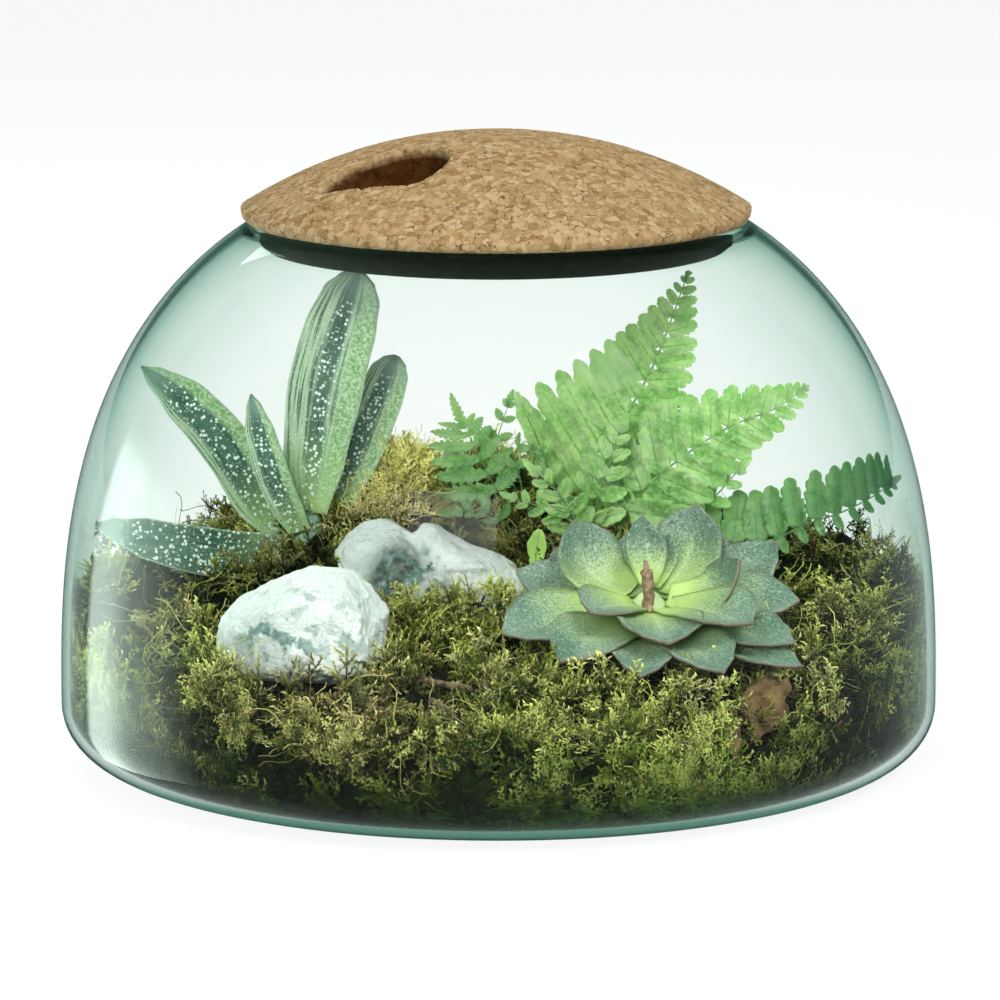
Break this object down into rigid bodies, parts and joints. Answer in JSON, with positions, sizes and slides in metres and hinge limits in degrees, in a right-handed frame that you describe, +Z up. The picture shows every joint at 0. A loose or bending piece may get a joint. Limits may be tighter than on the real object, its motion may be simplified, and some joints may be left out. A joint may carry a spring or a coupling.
{
  "type": "glass plant terrarium",
  "caption": "Round glass bowl with a domed cork lid, planted with a speckled gasteria, a succulent rosette and ferns in moss among stones.",
  "frame": {"origin": "centre of the bowl at the surface it stands on", "axes": "+Z up the bowl's axis; -Y is the front, where the rosette and the front stone lie; +X to the right seen from the front"},
  "size_m": [0.3, 0.3, 0.214],
  "materials": {
    "glass": "clear blown glass with an aqua-green tint",
    "cork": "pressed cork granules with dark pits",
    "soil": "damp dark earth",
    "moss": "feathery moss",
    "stone": "rough white quartz with grey-green mottling",
    "gasteria": "thick waxy leaf with pale raised dots",
    "rosette": "waxy blue-green leaf with a bloom",
    "stalk": "dry cut stalk",
    "fern": "thin satin frond",
    "lime_leaf": "thin satin leaf",
    "dry_leaf": "brown dry leaf",
    "twig": "dry bark and stems"
  },
  "bodies": {
    "root": {"glass_bowl": "glass", "cork_lid": "cork", "soil_mound": "soil", "moss_bed": "moss", "rock_front": "stone", "rock_back": "stone", "gasteria_crown": "gasteria", "gasteria_leaf_tall": "gasteria", "gasteria_leaf_spear": "gasteria", "gasteria_leaf_left": "gasteria", "gasteria_leaf_back": "gasteria", "gasteria_leaf_lying": "gasteria", "succulent_rosette": "rosette", "flower_stalk_stub": "stalk", "fern_frond_tall": "fern", "fern_frond_right": "fern", "fern_frond_wall": "fern", "fern_frond_middle": "fern", "small_fern_frond_left": "fern", "small_fern_frond_up": "fern", "small_fern_frond_right": "fern", "small_fern_frond_low": "fern", "fern_leaf_lime": "lime_leaf", "dead_leaf": "dry_leaf", "dead_leaf_strip": "dry_leaf", "twig_long": "twig", "twig_short": "twig", "twig_front": "twig", "twig_bottom": "twig", "stem_pale": "twig"}
  },
  "joints": []
}
